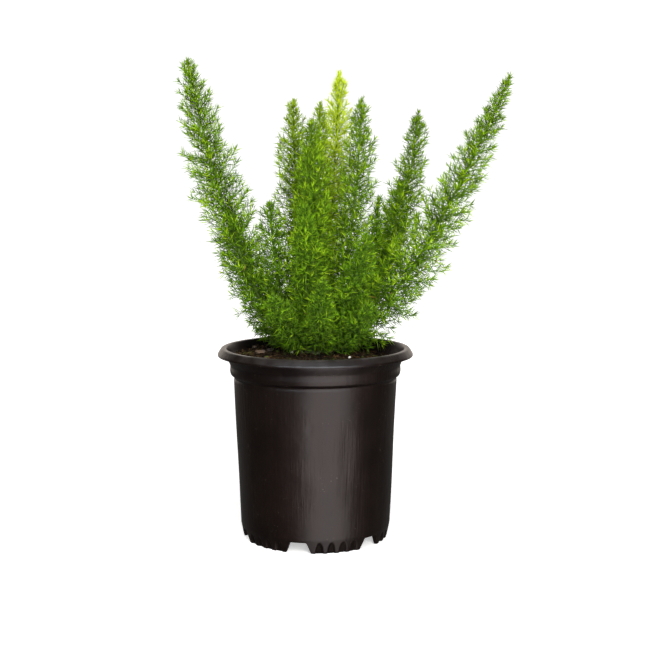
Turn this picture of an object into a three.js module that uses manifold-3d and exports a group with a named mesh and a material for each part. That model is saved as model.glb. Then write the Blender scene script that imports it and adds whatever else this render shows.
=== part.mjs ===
// A foxtail fern in a black nursery pot, in millimetres, +Z up.
// The pot's axis is vertical; the front of the plant faces -Y.
import * as THREE from 'three';
import { mergeVertices } from 'three/addons/utils/BufferGeometryUtils.js';
import Module from 'manifold-3d';

const wasm = await Module();
wasm.setup();

// ---------------------------------------------------------------- pot sizes
const POT_HEIGHT = 162;        // ground to the top of the rim
const RIM_RADIUS = 82.5;       // outside of the folded lip
const LIP_WIDTH = 7.2;         // lip's outside to the mouth's edge
const LIP_DROP = 6.5;          // rim top to the lip's lower edge
const LIP_CREST = 3.4;         // mouth's edge to where the lip slopes down
const LIP_EDGE = 1.6;          // height of the lip's outer edge
const WALL = 1.4;              // wall of the moulding
const NECK_INSET = 7.5;        // lip's outside to the neck
const NECK_DROP = 14.3;        // rim top to the crease under the neck
const CREASE_INSET = 10.6;     // lip's outside to the crease
const RIDGE_INSET = 10.2;      // lip's outside to the ridge
const RIDGE_DROP = 19;         // rim top to the middle of the ridge
const RIDGE_FOOT_DROP = 22.3;  // rim top to the ridge's lower edge
const GROOVE_INSET = 14;       // lip's outside to the groove
const GROOVE_DROP = 24.4;      // rim top to the groove
const BODY_INSET = 13.5;       // lip's outside to the top of the tapered body
const BODY_DROP = 27;          // rim top to the top of the tapered body
const BODY_TAPER = 5.3;        // how much the body narrows on the way down
const HEEL_HEIGHT = 12;        // ground to where the body turns in to the feet
const HEEL_INSET = 2.5;        // how far the feet stand inside the body
const FOOT_WALL = 3;           // flat width that the pot stands on
const FLOOR_RAISE = 10;        // ground to the underside of the floor
const FLOOR_THICKNESS = 1.8;
const FEET = 6;
const NOTCH_ANGLE = -103;      // degrees round from +X to the first notch
const NOTCH_HEIGHT = 9.5;
const NOTCH_TOP_WIDTH = 13;
const NOTCH_FOOT_WIDTH = 22;
const FLUTES_PER_FOOT = 4;
const FLUTE_PITCH = 9.2;       // degrees between the flutes of one foot
const FLUTE_WIDTH = 6.8;
const FLUTE_HEIGHT = 10;
const FLUTE_DEPTH = 1.5;
const DRAIN_RADIUS = 4.5;
const DRAIN_INSET = 12;        // foot's outside to the middle of a drain hole
const EDGE_ROUND = 1.4;        // rounding of the lip's edges
const CUT_MARGIN = 2;          // how far a cutter runs past what it cuts
const POT_SIDES = 40;

// --------------------------------------------------------------- soil sizes
const SOIL_DROP = 7;           // rim top to the soil at the wall
const MOUND = 3;               // how much higher the soil is at the crown
const SEAT_GAP = 0.3;          // gap between pieces that touch
const CROWN_RADIUS = 20;       // woody crown that the stems grow from
const CROWN_RISE = 6;          // how far the crown stands out of the soil
const CROWN_SIDES = 16;
const OUTER_RING = 0.8 * CROWN_RADIUS;  // where the stems leave the crown
const MIDDLE_RING = 0.5 * CROWN_RADIUS;
const INNER_RING = 0.2 * CROWN_RADIUS;

// -------------------------------------------------------------- frond sizes
const STEM_RADIUS = 1.5;       // at the crown
const STEM_TIP_RADIUS = 0.5;
const STEM_SIDES = 6;
const STEM_STEPS = 6;
const BARE_FOOT = 7;           // stem without foliage above the crown
const TIP_COVER = 9;           // foliage beyond the end of the stem
const PLUME_SIDES = 7;
const PLUME_GAP = 0.4;         // between one plume and the next
const TUFT_MARGIN = 22;        // mouth's edge to the tip of a low tuft
const TUFT_OUT = 0.4;          // bend of a tuft's stem, as shares of the way
const TUFT_UP = 0.6;
// The plume's radius from its foot to its tip, as [share of length, share of
// its widest radius].
const PLUME_SHAPE = [
  [0, 0.5], [0.12, 0.92], [0.35, 1], [0.6, 0.95], [0.8, 0.74], [0.92, 0.42], [0.98, 0.15],
];

const MOUTH_RADIUS = RIM_RADIUS - LIP_WIDTH;
const FOOT_RADIUS = RIM_RADIUS - BODY_INSET - BODY_TAPER - HEEL_INSET;
const FLOOR_TOP = FLOOR_RAISE + FLOOR_THICKNESS;
const TUFT_REACH = MOUTH_RADIUS - TUFT_MARGIN;

// Each frond: where it leaves the crown (degrees round, distance out), where
// its plume ends (x, y, height above the rim), the plume's widest radius, and
// how far out and up the stem's bend lies, as shares of the way to the tip.
const FRONDS = [
  { root: [175, OUTER_RING], tip: [-106, 0, 239], radius: 25.5, out: 0.52, up: 0.14 },
  { root: [0, OUTER_RING], tip: [161, 0, 226], radius: 22.5, out: 0.42, up: 0.12 },
  { root: [30, OUTER_RING], tip: [89, 45, 198], radius: 21.5, out: 0.86, up: 0.35 },
  { root: [80, MIDDLE_RING], tip: [21, 75, 235], radius: 22.5, out: 0.7, up: 0.4 },
  { root: [125, MIDDLE_RING], tip: [-19, 30, 208], radius: 23.5, out: 0.8, up: 0.4 },
  { root: [340, MIDDLE_RING], tip: [38, -10, 207], radius: 21.5, out: 0.9, up: 0.4 },
  { root: [60, INNER_RING], tip: [4, 10, 204], radius: 19.5, out: 0.6, up: 0.5 },
  { root: [250, INNER_RING], tip: [-3, -25, 188], radius: 21.5, out: 0.7, up: 0.4 },
  { root: [20, MIDDLE_RING], tip: [55, 20, 126], radius: 15, out: 0.7, up: 0.4 },
  { root: [215, OUTER_RING], tip: [-38, -8, 122], radius: 21.5, out: 0.8, up: 0.35 },
  { root: [245, MIDDLE_RING], tip: [-9, -45, 121], radius: 19.5, out: 0.7, up: 0.4 },
  { root: [300, MIDDLE_RING], tip: [41, -40, 97], radius: 18, out: 0.75, up: 0.4 },
  { root: [95, OUTER_RING], tip: [-8, 84, 168], radius: 21.5, out: 0.75, up: 0.35 },
  { root: [52, OUTER_RING], tip: [78, 82, 140], radius: 21.5, out: 0.75, up: 0.35 },
  { root: [138, OUTER_RING], tip: [-78, 70, 112], radius: 21.5, out: 0.75, up: 0.35 },
  { root: [272, OUTER_RING], tip: [6, -70, 62], radius: 16, out: 0.7, up: 0.45 },
  { root: [238, OUTER_RING], tip: [-34, -56, 48], radius: 16, out: 0.7, up: 0.45 },
  { root: [303, OUTER_RING], tip: [46, -50, 40], radius: 16, out: 0.7, up: 0.45 },
];

// Low tufts: short young shoots just above the soil, as degrees round for the
// root and for the tip, height above the rim and radius.
const TUFTS = [
  { root: 332, tip: 335, height: 14, radius: 12 },
  { root: 195, tip: 192, height: 18, radius: 12 },
];

// Loose pieces on the soil, as degrees round, share of the way from the crown
// to the wall, and size.
const PERLITE = [
  [214, 0.07, 3], [309, 0.47, 2.4], [112, 0.6, 2.4], [70, 0.65, 2.8], [92, 0.8, 2.2], [52, 0.8, 2.4],
];
const BARK = [
  [186, 0.5, 9], [170, 0.35, 7], [150, 0.78, 8], [115, 0.57, 9], [50, 0.75, 8], [225, 0.65, 8],
];

const COLOURS = {
  pot: new THREE.MeshStandardMaterial({ color: 0x1e1815, roughness: 0.42, metalness: 0 }),
  soil: new THREE.MeshStandardMaterial({ color: 0x2a1d14, roughness: 0.95, metalness: 0 }),
  crown: new THREE.MeshStandardMaterial({ color: 0x6b6a3a, roughness: 0.85, metalness: 0 }),
  stem: new THREE.MeshStandardMaterial({ color: 0x7fa63a, roughness: 0.6, metalness: 0 }),
  foliage: new THREE.MeshStandardMaterial({ color: 0x4f8a14, roughness: 0.6, metalness: 0 }),
  perlite: new THREE.MeshStandardMaterial({ color: 0xe8e4da, roughness: 0.9, metalness: 0 }),
  bark: new THREE.MeshStandardMaterial({ color: 0x4a3423, roughness: 0.9, metalness: 0 }),
};

// ------------------------------------------------------------------ solids
function toSolid(geometry) {
  const plain = geometry.clone();
  plain.deleteAttribute('normal');
  plain.deleteAttribute('uv');
  const merged = mergeVertices(plain, 1e-4);
  return new wasm.Manifold(new wasm.Mesh({
    numProp: 3,
    vertProperties: new Float32Array(merged.attributes.position.array),
    triVerts: new Uint32Array(merged.index.array),
  }));
}

function toGeometry(solid) {
  const mesh = solid.getMesh();
  const geometry = new THREE.BufferGeometry();
  geometry.setAttribute('position', new THREE.BufferAttribute(mesh.vertProperties, 3));
  geometry.setIndex(new THREE.BufferAttribute(mesh.triVerts, 1));
  geometry.computeVertexNormals();
  return geometry;
}

// The biggest of the bodies that a cut leaves.
function mainBody(solid) {
  return solid.decompose().reduce((best, body) => (body.volume() > best.volume() ? body : best));
}

// A turned solid about Z from [radius, height] points that close on
// themselves or run from axis to axis.
function turned(points, sides) {
  const outline = points.map(([radius, height]) => new THREE.Vector2(radius, height));
  return new THREE.LatheGeometry(outline, sides).rotateX(Math.PI / 2);
}

function polar(degrees, distance) {
  const angle = THREE.MathUtils.degToRad(degrees);
  return [distance * Math.cos(angle), distance * Math.sin(angle)];
}

// --------------------------------------------------------------------- pot
// Inside of the wall from the floor to the mouth, set inwards by inset.
function innerWall(inset) {
  const out = RIM_RADIUS - WALL - inset;
  return [
    [out - BODY_INSET - BODY_TAPER, FLOOR_TOP + inset],
    [out - BODY_INSET, POT_HEIGHT - BODY_DROP],
    [out - GROOVE_INSET, POT_HEIGHT - GROOVE_DROP],
    [out - RIDGE_INSET, POT_HEIGHT - RIDGE_DROP],
    [out - CREASE_INSET, POT_HEIGHT - NECK_DROP],
    [out - NECK_INSET, POT_HEIGHT - LIP_DROP],
  ];
}

function potGeometry() {
  const outside = [
    [FOOT_RADIUS, 0],
    [RIM_RADIUS - BODY_INSET - BODY_TAPER, HEEL_HEIGHT],
    [RIM_RADIUS - BODY_INSET, POT_HEIGHT - BODY_DROP],
    [RIM_RADIUS - GROOVE_INSET, POT_HEIGHT - GROOVE_DROP],
    [RIM_RADIUS - RIDGE_INSET - WALL / 2, POT_HEIGHT - RIDGE_FOOT_DROP],
    [RIM_RADIUS - RIDGE_INSET, POT_HEIGHT - RIDGE_DROP],
    [RIM_RADIUS - CREASE_INSET, POT_HEIGHT - NECK_DROP],
    [RIM_RADIUS - NECK_INSET, POT_HEIGHT - LIP_DROP - EDGE_ROUND],
    [RIM_RADIUS - NECK_INSET + WALL / 2, POT_HEIGHT - WALL - EDGE_ROUND],
    [MOUTH_RADIUS + LIP_CREST, POT_HEIGHT - WALL - EDGE_ROUND],
    [RIM_RADIUS - WALL, POT_HEIGHT - LIP_DROP],
    [RIM_RADIUS, POT_HEIGHT - LIP_DROP],
    [RIM_RADIUS, POT_HEIGHT - LIP_DROP + LIP_EDGE],
    [MOUTH_RADIUS + LIP_CREST, POT_HEIGHT],
    [MOUTH_RADIUS + EDGE_ROUND, POT_HEIGHT],
    [MOUTH_RADIUS, POT_HEIGHT - EDGE_ROUND],
  ];
  const underside = [
    [0, FLOOR_TOP],
    [0, FLOOR_RAISE],
    [FOOT_RADIUS - FOOT_WALL, FLOOR_RAISE],
    [FOOT_RADIUS - FOOT_WALL, 0],
    [FOOT_RADIUS, 0],
  ];
  return turned([...outside, ...innerWall(0).reverse(), ...underside], POT_SIDES);
}

// A wedge-sided notch, cut outwards through the foot ring along +X.
function notchCutter() {
  const foot = NOTCH_FOOT_WIDTH / 2;
  const top = NOTCH_TOP_WIDTH / 2;
  const outline = new THREE.Shape([
    new THREE.Vector2(-foot, -CUT_MARGIN),
    new THREE.Vector2(foot, -CUT_MARGIN),
    new THREE.Vector2(top + EDGE_ROUND, NOTCH_HEIGHT - EDGE_ROUND),
    new THREE.Vector2(top - EDGE_ROUND, NOTCH_HEIGHT),
    new THREE.Vector2(EDGE_ROUND - top, NOTCH_HEIGHT),
    new THREE.Vector2(-top - EDGE_ROUND, NOTCH_HEIGHT - EDGE_ROUND),
  ]);
  const depth = FOOT_WALL + HEEL_INSET + 2 * CUT_MARGIN;
  const cutter = new THREE.ExtrudeGeometry(outline, { depth, bevelEnabled: false });
  cutter.rotateX(Math.PI / 2).rotateZ(Math.PI / 2);
  return cutter.translate(FOOT_RADIUS - FOOT_WALL - CUT_MARGIN, 0, 0);
}

// An arch-topped flute in the face of a foot: half of an upright egg shape.
function fluteCutter() {
  const cutter = new THREE.SphereGeometry(1, 8, 6).rotateX(Math.PI / 2);
  cutter.scale(FLUTE_DEPTH, FLUTE_WIDTH / 2, FLUTE_HEIGHT);
  return cutter.translate(FOOT_RADIUS, 0, 0);
}

function drainCutter() {
  const depth = FLOOR_THICKNESS + 2 * CUT_MARGIN;
  const cutter = new THREE.CylinderGeometry(DRAIN_RADIUS, DRAIN_RADIUS, depth, 12);
  cutter.rotateX(Math.PI / 2);
  return cutter.translate(FOOT_RADIUS - DRAIN_INSET, 0, FLOOR_RAISE + FLOOR_THICKNESS / 2);
}

function makePot() {
  const notch = toSolid(notchCutter());
  const flute = toSolid(fluteCutter());
  const drain = toSolid(drainCutter());
  let pot = toSolid(potGeometry());
  for (let foot = 0; foot < FEET; foot++) {
    const pitch = 360 / FEET;
    const turn = NOTCH_ANGLE + foot * pitch;
    pot = pot.subtract(notch.rotate([0, 0, turn]));
    pot = pot.subtract(drain.rotate([0, 0, turn]));
    for (let i = 0; i < FLUTES_PER_FOOT; i++) {
      const aside = (i - (FLUTES_PER_FOOT - 1) / 2) * FLUTE_PITCH;
      pot = pot.subtract(flute.rotate([0, 0, turn + pitch / 2 + aside]));
    }
  }
  return pot;
}

// -------------------------------------------------------------------- soil
const SOIL_EDGE = POT_HEIGHT - SOIL_DROP;

// Points of the pot's inner wall up to the soil's edge.
function soilWall() {
  const wall = innerWall(SEAT_GAP);
  const above = wall.findIndex(([, height]) => height >= SOIL_EDGE);
  const last = above < 0 ? wall.length : above;
  const [lowRadius, low] = wall[last - 1];
  const [highRadius, high] = wall[Math.min(last, wall.length - 1)];
  const share = high > low ? (SOIL_EDGE - low) / (high - low) : 0;
  return [...wall.slice(0, last), [lowRadius + share * (highRadius - lowRadius), SOIL_EDGE]];
}

const SOIL_WALL = soilWall();
const SOIL_RADIUS = SOIL_WALL.at(-1)[0];

function soilLevel(distance) {
  return SOIL_EDGE + MOUND * (1 - (distance / SOIL_RADIUS) ** 2);
}

function soilGeometry(lift) {
  const top = [0.75, 0.5, 0.25, 0].map((share) => {
    const distance = share * SOIL_RADIUS;
    return [distance, soilLevel(distance) + lift];
  });
  const wall = SOIL_WALL.map(([radius, height]) => [radius, height + lift]);
  return turned([[0, SOIL_WALL[0][1] + lift], ...wall, ...top], POT_SIDES);
}

function crownGeometry(gap) {
  const dome = new THREE.SphereGeometry(1, CROWN_SIDES, 8).rotateX(Math.PI / 2);
  dome.scale(CROWN_RADIUS + gap, CROWN_RADIUS + gap, CROWN_RISE + gap);
  return dome.translate(0, 0, soilLevel(0));
}

// ------------------------------------------------------------------ fronds
// Bends a straight solid of the given length, standing on the origin, along
// the curve between two distances from the curve's start. What reaches past
// an end of the curve goes straight on.
function bentAlong(geometry, curve, length, start, end) {
  const whole = curve.getLength();
  const place = geometry.attributes.position;
  const sideways = new THREE.Vector3();
  const across = new THREE.Vector3();
  const point = new THREE.Vector3();
  for (let i = 0; i < place.count; i++) {
    const along = start + (end - start) * (place.getZ(i) / length);
    const share = THREE.MathUtils.clamp(along / whole, 0, 1);
    const tangent = curve.getTangentAt(share);
    sideways.crossVectors(tangent, curve.lean).normalize();
    across.crossVectors(sideways, tangent);
    curve.getPointAt(share, point).addScaledVector(tangent, along - share * whole);
    point.addScaledVector(across, place.getX(i)).addScaledVector(sideways, place.getY(i));
    place.setXYZ(i, point.x, point.y, point.z);
  }
  return geometry;
}

function frondCurve([turn, distance], [x, y, height], out, up) {
  const [rootX, rootY] = polar(turn, distance);
  const domeHeight = CROWN_RISE * Math.sqrt(1 - (distance / CROWN_RADIUS) ** 2);
  const root = new THREE.Vector3(rootX, rootY, soilLevel(0) + domeHeight - STEM_RADIUS);
  const tip = new THREE.Vector3(x, y, POT_HEIGHT + height);
  const bend = new THREE.Vector3(
    root.x + (tip.x - root.x) * out,
    root.y + (tip.y - root.y) * out,
    root.z + (tip.z - root.z) * up,
  );
  const curve = new THREE.QuadraticBezierCurve3(root, bend, tip);
  curve.lean = new THREE.Vector3(tip.x - root.x, tip.y - root.y, 0).normalize();
  return curve;
}

// The tapering stem, fatter all over by gap where it cuts its neighbours.
function stemGeometry(curve, gap) {
  const end = curve.getLength() - TIP_COVER + gap;
  const points = [[0, 0]];
  for (let i = 0; i <= STEM_STEPS; i++) {
    const share = i / STEM_STEPS;
    points.push([gap + THREE.MathUtils.lerp(STEM_RADIUS, STEM_TIP_RADIUS, share), share * end]);
  }
  points.push([0, end]);
  return bentAlong(turned(points, STEM_SIDES), curve, end, 0, end);
}

// The plume: the space that the frond's side sprays and needles fill, bigger
// all over by gap where it cuts its neighbours.
function plumeGeometry(curve, radius, gap) {
  const start = BARE_FOOT - gap;
  const end = curve.getLength() + gap;
  const length = end - start;
  const points = PLUME_SHAPE.map(([share, width]) => [gap + width * radius, share * length]);
  const ends = [[0, 0], ...points, [0, length]];
  return bentAlong(turned(ends, PLUME_SIDES), curve, length, start, end);
}

function allFronds() {
  const tall = FRONDS.map(({ root, tip, radius, out, up }) => (
    { curve: frondCurve(root, tip, out, up), radius }
  ));
  const low = TUFTS.map(({ root, tip, height, radius }) => {
    const [x, y] = polar(tip, TUFT_REACH);
    return { curve: frondCurve([root, OUTER_RING], [x, y, height], TUFT_OUT, TUFT_UP), radius };
  });
  return [...tall, ...low];
}

// ------------------------------------------------------------- loose pieces
// A rounded grain or a flat chip, resting on the soil.
function looseGeometry([degrees, share, size], [wide, deep, thick], corners) {
  const distance = THREE.MathUtils.lerp(CROWN_RADIUS, SOIL_RADIUS, share);
  const piece = new THREE.SphereGeometry(size / 2, corners, 4).rotateX(Math.PI / 2);
  piece.scale(wide, deep, thick);
  piece.rotateZ(THREE.MathUtils.degToRad(degrees * 3));
  const [x, y] = polar(degrees, distance);
  return piece.translate(x, y, soilLevel(distance) + thick * size / 2 + SEAT_GAP);
}

// ---------------------------------------------------------------- assembly
const plant = new THREE.Group();

function add(name, geometry, material) {
  const mesh = new THREE.Mesh(geometry, material);
  mesh.name = name;
  plant.add(mesh);
}

const crown = toSolid(crownGeometry(0));
const crownSpace = toSolid(crownGeometry(SEAT_GAP));
const ground = toSolid(soilGeometry(PLUME_GAP));
add('pot', toGeometry(makePot()), COLOURS.pot);
add('soil', toGeometry(toSolid(soilGeometry(0)).subtract(crownSpace)), COLOURS.soil);
add('crown', toGeometry(crown), COLOURS.crown);

const fronds = allFronds();
const stems = fronds.map(({ curve }) => toSolid(stemGeometry(curve, 0)));
const stemSpaces = fronds.map(({ curve }) => toSolid(stemGeometry(curve, SEAT_GAP)));
const plumeSpaces = [];
fronds.forEach(({ curve, radius }, i) => {
  const name = `frond_${String(i + 1).padStart(2, '0')}`;
  let plume = toSolid(plumeGeometry(curve, radius, 0));
  for (const space of [crownSpace, ground, ...stemSpaces, ...plumeSpaces]) {
    plume = plume.subtract(space);
  }
  plumeSpaces.push(toSolid(plumeGeometry(curve, radius, PLUME_GAP)));
  add(`${name}_stem`, toGeometry(mainBody(stems[i].subtract(crownSpace))), COLOURS.stem);
  add(`${name}_foliage`, toGeometry(mainBody(plume)), COLOURS.foliage);
});

PERLITE.forEach((place, i) => {
  add(`perlite_${i + 1}`, looseGeometry(place, [1, 0.85, 0.8], 6), COLOURS.perlite);
});
BARK.forEach((place, i) => {
  add(`bark_chip_${i + 1}`, looseGeometry(place, [1, 0.5, 0.3], 6), COLOURS.bark);
});

// The origin goes to the middle of the bottom of the whole plant's box.
const box = new THREE.Box3().setFromObject(plant);
const middle = box.getCenter(new THREE.Vector3());
plant.position.set(-middle.x, -middle.y, -box.min.z);

export default plant;
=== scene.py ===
import math

import bpy
import numpy as np
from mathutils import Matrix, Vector, noise


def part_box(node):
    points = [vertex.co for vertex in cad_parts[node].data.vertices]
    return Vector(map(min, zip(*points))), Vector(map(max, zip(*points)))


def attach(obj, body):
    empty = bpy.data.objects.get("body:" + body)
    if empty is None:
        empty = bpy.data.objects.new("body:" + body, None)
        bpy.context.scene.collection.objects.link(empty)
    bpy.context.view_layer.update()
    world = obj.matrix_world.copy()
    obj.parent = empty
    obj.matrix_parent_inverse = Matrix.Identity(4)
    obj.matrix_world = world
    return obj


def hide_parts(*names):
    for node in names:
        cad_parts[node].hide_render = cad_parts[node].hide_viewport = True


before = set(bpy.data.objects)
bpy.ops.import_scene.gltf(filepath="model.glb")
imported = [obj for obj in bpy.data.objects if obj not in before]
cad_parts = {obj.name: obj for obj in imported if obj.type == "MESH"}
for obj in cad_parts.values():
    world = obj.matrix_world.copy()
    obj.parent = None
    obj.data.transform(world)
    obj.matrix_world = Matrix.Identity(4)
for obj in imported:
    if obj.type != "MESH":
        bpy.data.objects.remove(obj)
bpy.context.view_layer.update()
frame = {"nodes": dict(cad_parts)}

# A foxtail fern in a black nursery pot. Sizes are in millimetres about the pot's axis and become
# metres in to_metres(). Only the lights and the floor are in metres from the start.
MM = 0.001
BODY = "root"
BAKE_UV = "OFBake"
TURN = 2 * math.pi
GOLDEN_ANGLE = math.radians(137.508)

# ------------------------------------------------------------------ where things are
POT_LOW, POT_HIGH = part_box("pot")
AXIS_X = (POT_LOW.x + POT_HIGH.x) / 2 / MM
AXIS_Y = (POT_LOW.y + POT_HIGH.y) / 2 / MM
POT_HEIGHT = POT_HIGH.z / MM
RIM_RADIUS = (POT_HIGH.x - POT_LOW.x) / 2 / MM

# ---------------------------------------------------------------------------- camera
CAMERA_ASIDE = 6.5         # right of the pot's axis
CAMERA_BACK = 1060         # in front of the pot's axis
CAMERA_RISE = 146          # above the rim
CAMERA_TILT = 0.118        # radians below level
CAMERA_LENS = 70.4
CAMERA_SENSOR = 36

# ---------------------------------------------------------------------------- studio
# Area lights, in metres from the foot of the pot's axis: name, place, aim, width, height, watts,
# colour, and whether it lights rough surfaces too. The others are only seen as reflections.
AREA_LIGHTS = [
    ("front", (0.4, -1.8, 1.0), (0, 0, 0.25), 0.5, 0.7, 33, (1, 0.99, 0.96), True),
    ("strip", (0.105, -0.36, -0.03), (0, 0, -0.03), 0.42, 0.5, 7.2, (1, 0.93, 0.94), False),
    ("sky", (0.02, -0.95, 0.62), (0, 0, 0.16), 1.7, 0.3, 72, (0.74, 0.88, 1), False),
    ("back", (0, 1.6, 0.35), (0, 0, 0.1), 3.2, 0.9, 16, (1, 0.88, 0.78), False),
]
SUN_STRENGTH, SUN_SPREAD = 1.9, math.radians(50)
SUN_TURN = (math.radians(28), math.radians(-12), 0)
FILL_COLOUR, FILL_STRENGTH = (1.0, 0.97, 0.92, 1), 0.2
BACKDROP_STRENGTH = 1.1
FLOOR_GLOW = 0.5
FLOOR_HALF = 12            # metres

# ------------------------------------------------------------------------------- pot
LIP_WIDTH = 7.2
LIP_DROP = 6.5
LIP_CREST, LIP_EDGE = 3.4, 1.6
WALL = 1.4
NECK_INSET, NECK_DROP = 7.5, 14.3
CREASE_INSET = 10.6
RIDGE_INSET, RIDGE_DROP, RIDGE_FOOT_DROP = 10.2, 19, 22.3
GROOVE_INSET, GROOVE_DROP = 14, 24.4
BODY_INSET, BODY_DROP = 13.5, 27
BODY_TAPER = 5.3
HEEL_HEIGHT, HEEL_INSET = 12, 2.5
FOOT_WALL = 3
FLOOR_RAISE, FLOOR_THICKNESS = 10, 1.8
FEET = 6
NOTCH_ANGLE = math.radians(-103)
NOTCH_HEIGHT, NOTCH_TOP_WIDTH, NOTCH_FOOT_WIDTH = 9.5, 13, 22
FLUTES_PER_FOOT = 4
FLUTE_PITCH = math.radians(9.2)
FLUTE_WIDTH, FLUTE_HEIGHT, FLUTE_DEPTH = 6.2, 10, 2.5
FLUTE_EDGE = (1.04, 0.8)   # where a flute's edge starts and ends, as a share of its arch
FLUTE_FADE = 0.85          # how much shallower a flute is at its top
DRAIN_RADIUS, DRAIN_INSET = 4.5, 12
POT_ANGLES = 600
CORNER_RADIUS = 1.1        # of the section's rounded corners
# The longest steps of the section: under the floor, at the heel, on the long wall, elsewhere.
FLOOR_STEP, HEEL_STEP, WALL_STEP, SHORT_STEP = 9, 0.8, 8, 3
MOUTH_RADIUS = RIM_RADIUS - LIP_WIDTH
BODY_TOP_RADIUS = RIM_RADIUS - BODY_INSET
BODY_FOOT_RADIUS = BODY_TOP_RADIUS - BODY_TAPER
FOOT_RADIUS = BODY_FOOT_RADIUS - HEEL_INSET
# Soft dents in the wall: degrees right of the front, height, half-width, half-height, depth.
DENTS = [
    (2, 72, 10, 9, 0.6), (8, 52, 14, 11, -0.6), (2, 100, 5, 20, 0.3), (22, 80, 7, 26, 0.4),
    (-3, 104, 3, 3, 0.35), (-70, 60, 22, 30, 0.5), (120, 80, 25, 30, 0.5), (-140, 50, 20, 25, 0.45),
    (75, 95, 18, 30, 0.4), (170, 100, 20, 22, -0.3),
]

# ------------------------------------------------------------------------------ soil
SOIL_DROP = 7
MOUND = 3
SOIL_RADIUS = RIM_RADIUS - WALL - CREASE_INSET + 0.4
SOIL_EDGE = POT_HEIGHT - SOIL_DROP
SUNK_SIDE = math.radians(20)   # where the mix has settled lower
SUNK_DEPTH = 4.5
CRUMBS = 2600
FIBRES = 170
STUBS = 26                 # cut stem stubs on the crown
SOIL_ANGLES, SOIL_SHARES = 240, 64
CROWN_ANGLES, CROWN_RINGS = 96, 34
LOOSE_ANGLES, LOOSE_RINGS = 48, 26
LOOSE_COUNT = 6            # perlite grains, and as many bark chips

# ---------------------------------------------------------------------------- fronds
FROND_COUNT = 20
CANE_RADIUS, CANE_TIP_RADIUS = 1.5, 0.45
CANE_SIDES, TWIG_SIDES = 10, 4
BARE_FOOT = 6
LINE_STEP = 1.5            # between points of a frond's middle line
# How wide a plume is: share of its length, share of the CAD foliage's reach.
PLUME_SHAPE = [(0, 0.6), (0.12, 0.96), (0.35, 1.04), (0.6, 1.02),
               (0.8, 0.83), (0.9, 0.6), (0.96, 0.4), (1, 0.1)]
# Where the two outer plumes hang out wider than their shape: share of the length, factor.
FULLER = {1: [(0.1, 1), (0.3, 1.08), (0.6, 1.1), (0.78, 1)],
          2: [(0, 1.2), (0.1, 1.42), (0.32, 1.36), (0.5, 1.1), (0.7, 0.96)]}
SPRAY_PITCH = 0.88         # between one side spray and the next along the cane
SPRAY_STEPS = 4
NODE_PITCH = 1.9           # between needle clusters along a spray
NEEDLE_LENGTH = 10.4
NEEDLE_WIDTH = 0.94
NEEDLE_THICKNESS = 0.4
SHADED_TOP, SHADED_SPAN = 255, 90   # the tuft is darker below this height, over this much
BRIGHT_FROND = 4           # the young back-lit one, painted yellower and lighter for its back-lit glow
LIT_FRONDS = (5, 7)        # its neighbours, painted a little lighter as a faint glow


# ------------------------------------------------------------------------- mesh tools
def to_metres(points):
    """Points about the pot's axis, in millimetres, as metres in the frame."""
    return (np.asarray(points, float) + (AXIS_X, AXIS_Y, 0)) * MM


def from_metres(points):
    return np.asarray(points, float) / MM - (AXIS_X, AXIS_Y, 0)


def unit(vectors):
    return vectors / np.maximum(np.linalg.norm(vectors, axis=-1, keepdims=True), 1e-9)


def smooth_step(low, high, value):
    share = np.clip((value - low) / (high - low), 0, 1)
    return share * share * (3 - 2 * share)


class Pile:
    """Gathers the vertices, triangles and marks of one piece."""

    def __init__(self):
        self.points, self.triangles, self.marks, self.count = [], [], [], 0

    def add(self, points, triangles, mark=(0.5, 0.5, 0.5)):
        points = np.asarray(points, float).reshape(-1, 3)
        self.points.append(points)
        self.triangles.append(np.asarray(triangles, int).reshape(-1, 3) + self.count)
        self.marks.append(np.broadcast_to(np.asarray(mark, float), (len(points), 3)))
        self.count += len(points)

    def build(self, name, material, uv=None):
        return make_object(
            name, material, np.concatenate(self.points), np.concatenate(self.triangles),
            np.concatenate(self.marks), uv,
        )


def triangle_cells(count):
    """One small cell of the bake's picture for each triangle, two to a square."""
    across = math.ceil(math.sqrt(math.ceil(count / 2)))
    index = np.arange(count)
    cell = index // 2
    corner = np.stack([cell % across, cell // across], 1)[:, None, :]
    low = np.array([(0.06, 0.06), (0.80, 0.06), (0.06, 0.80)])
    high = np.array([(0.94, 0.94), (0.20, 0.94), (0.94, 0.20)])
    shape = np.where((index % 2 == 0)[:, None, None], low[None], high[None])
    return ((corner + shape) / across).reshape(-1, 2)


def make_object(name, material, points, triangles, marks=None, uv=None):
    mesh = bpy.data.meshes.new(name)
    mesh.vertices.add(len(points))
    mesh.vertices.foreach_set("co", to_metres(points).ravel())
    mesh.loops.add(triangles.size)
    mesh.loops.foreach_set("vertex_index", triangles.ravel())
    mesh.polygons.add(len(triangles))
    mesh.polygons.foreach_set("loop_start", np.arange(0, triangles.size, 3))
    mesh.polygons.foreach_set("use_smooth", np.ones(len(triangles), bool))
    mesh.update(calc_edges=True)
    layer = mesh.uv_layers.new(name=BAKE_UV)
    layer.data.foreach_set("uv", (triangle_cells(len(triangles)) if uv is None else uv).ravel())
    if marks is not None:
        mark = mesh.color_attributes.new("mark", "FLOAT_COLOR", "POINT")
        mark.data.foreach_set("color", np.c_[marks, np.ones(len(marks))].ravel())
    mesh.materials.append(material)
    piece = bpy.data.objects.new(name, mesh)
    bpy.context.scene.collection.objects.link(piece)
    return piece


def settle(piece, slot, *nodes):
    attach(piece, BODY)
    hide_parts(*nodes)


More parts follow.
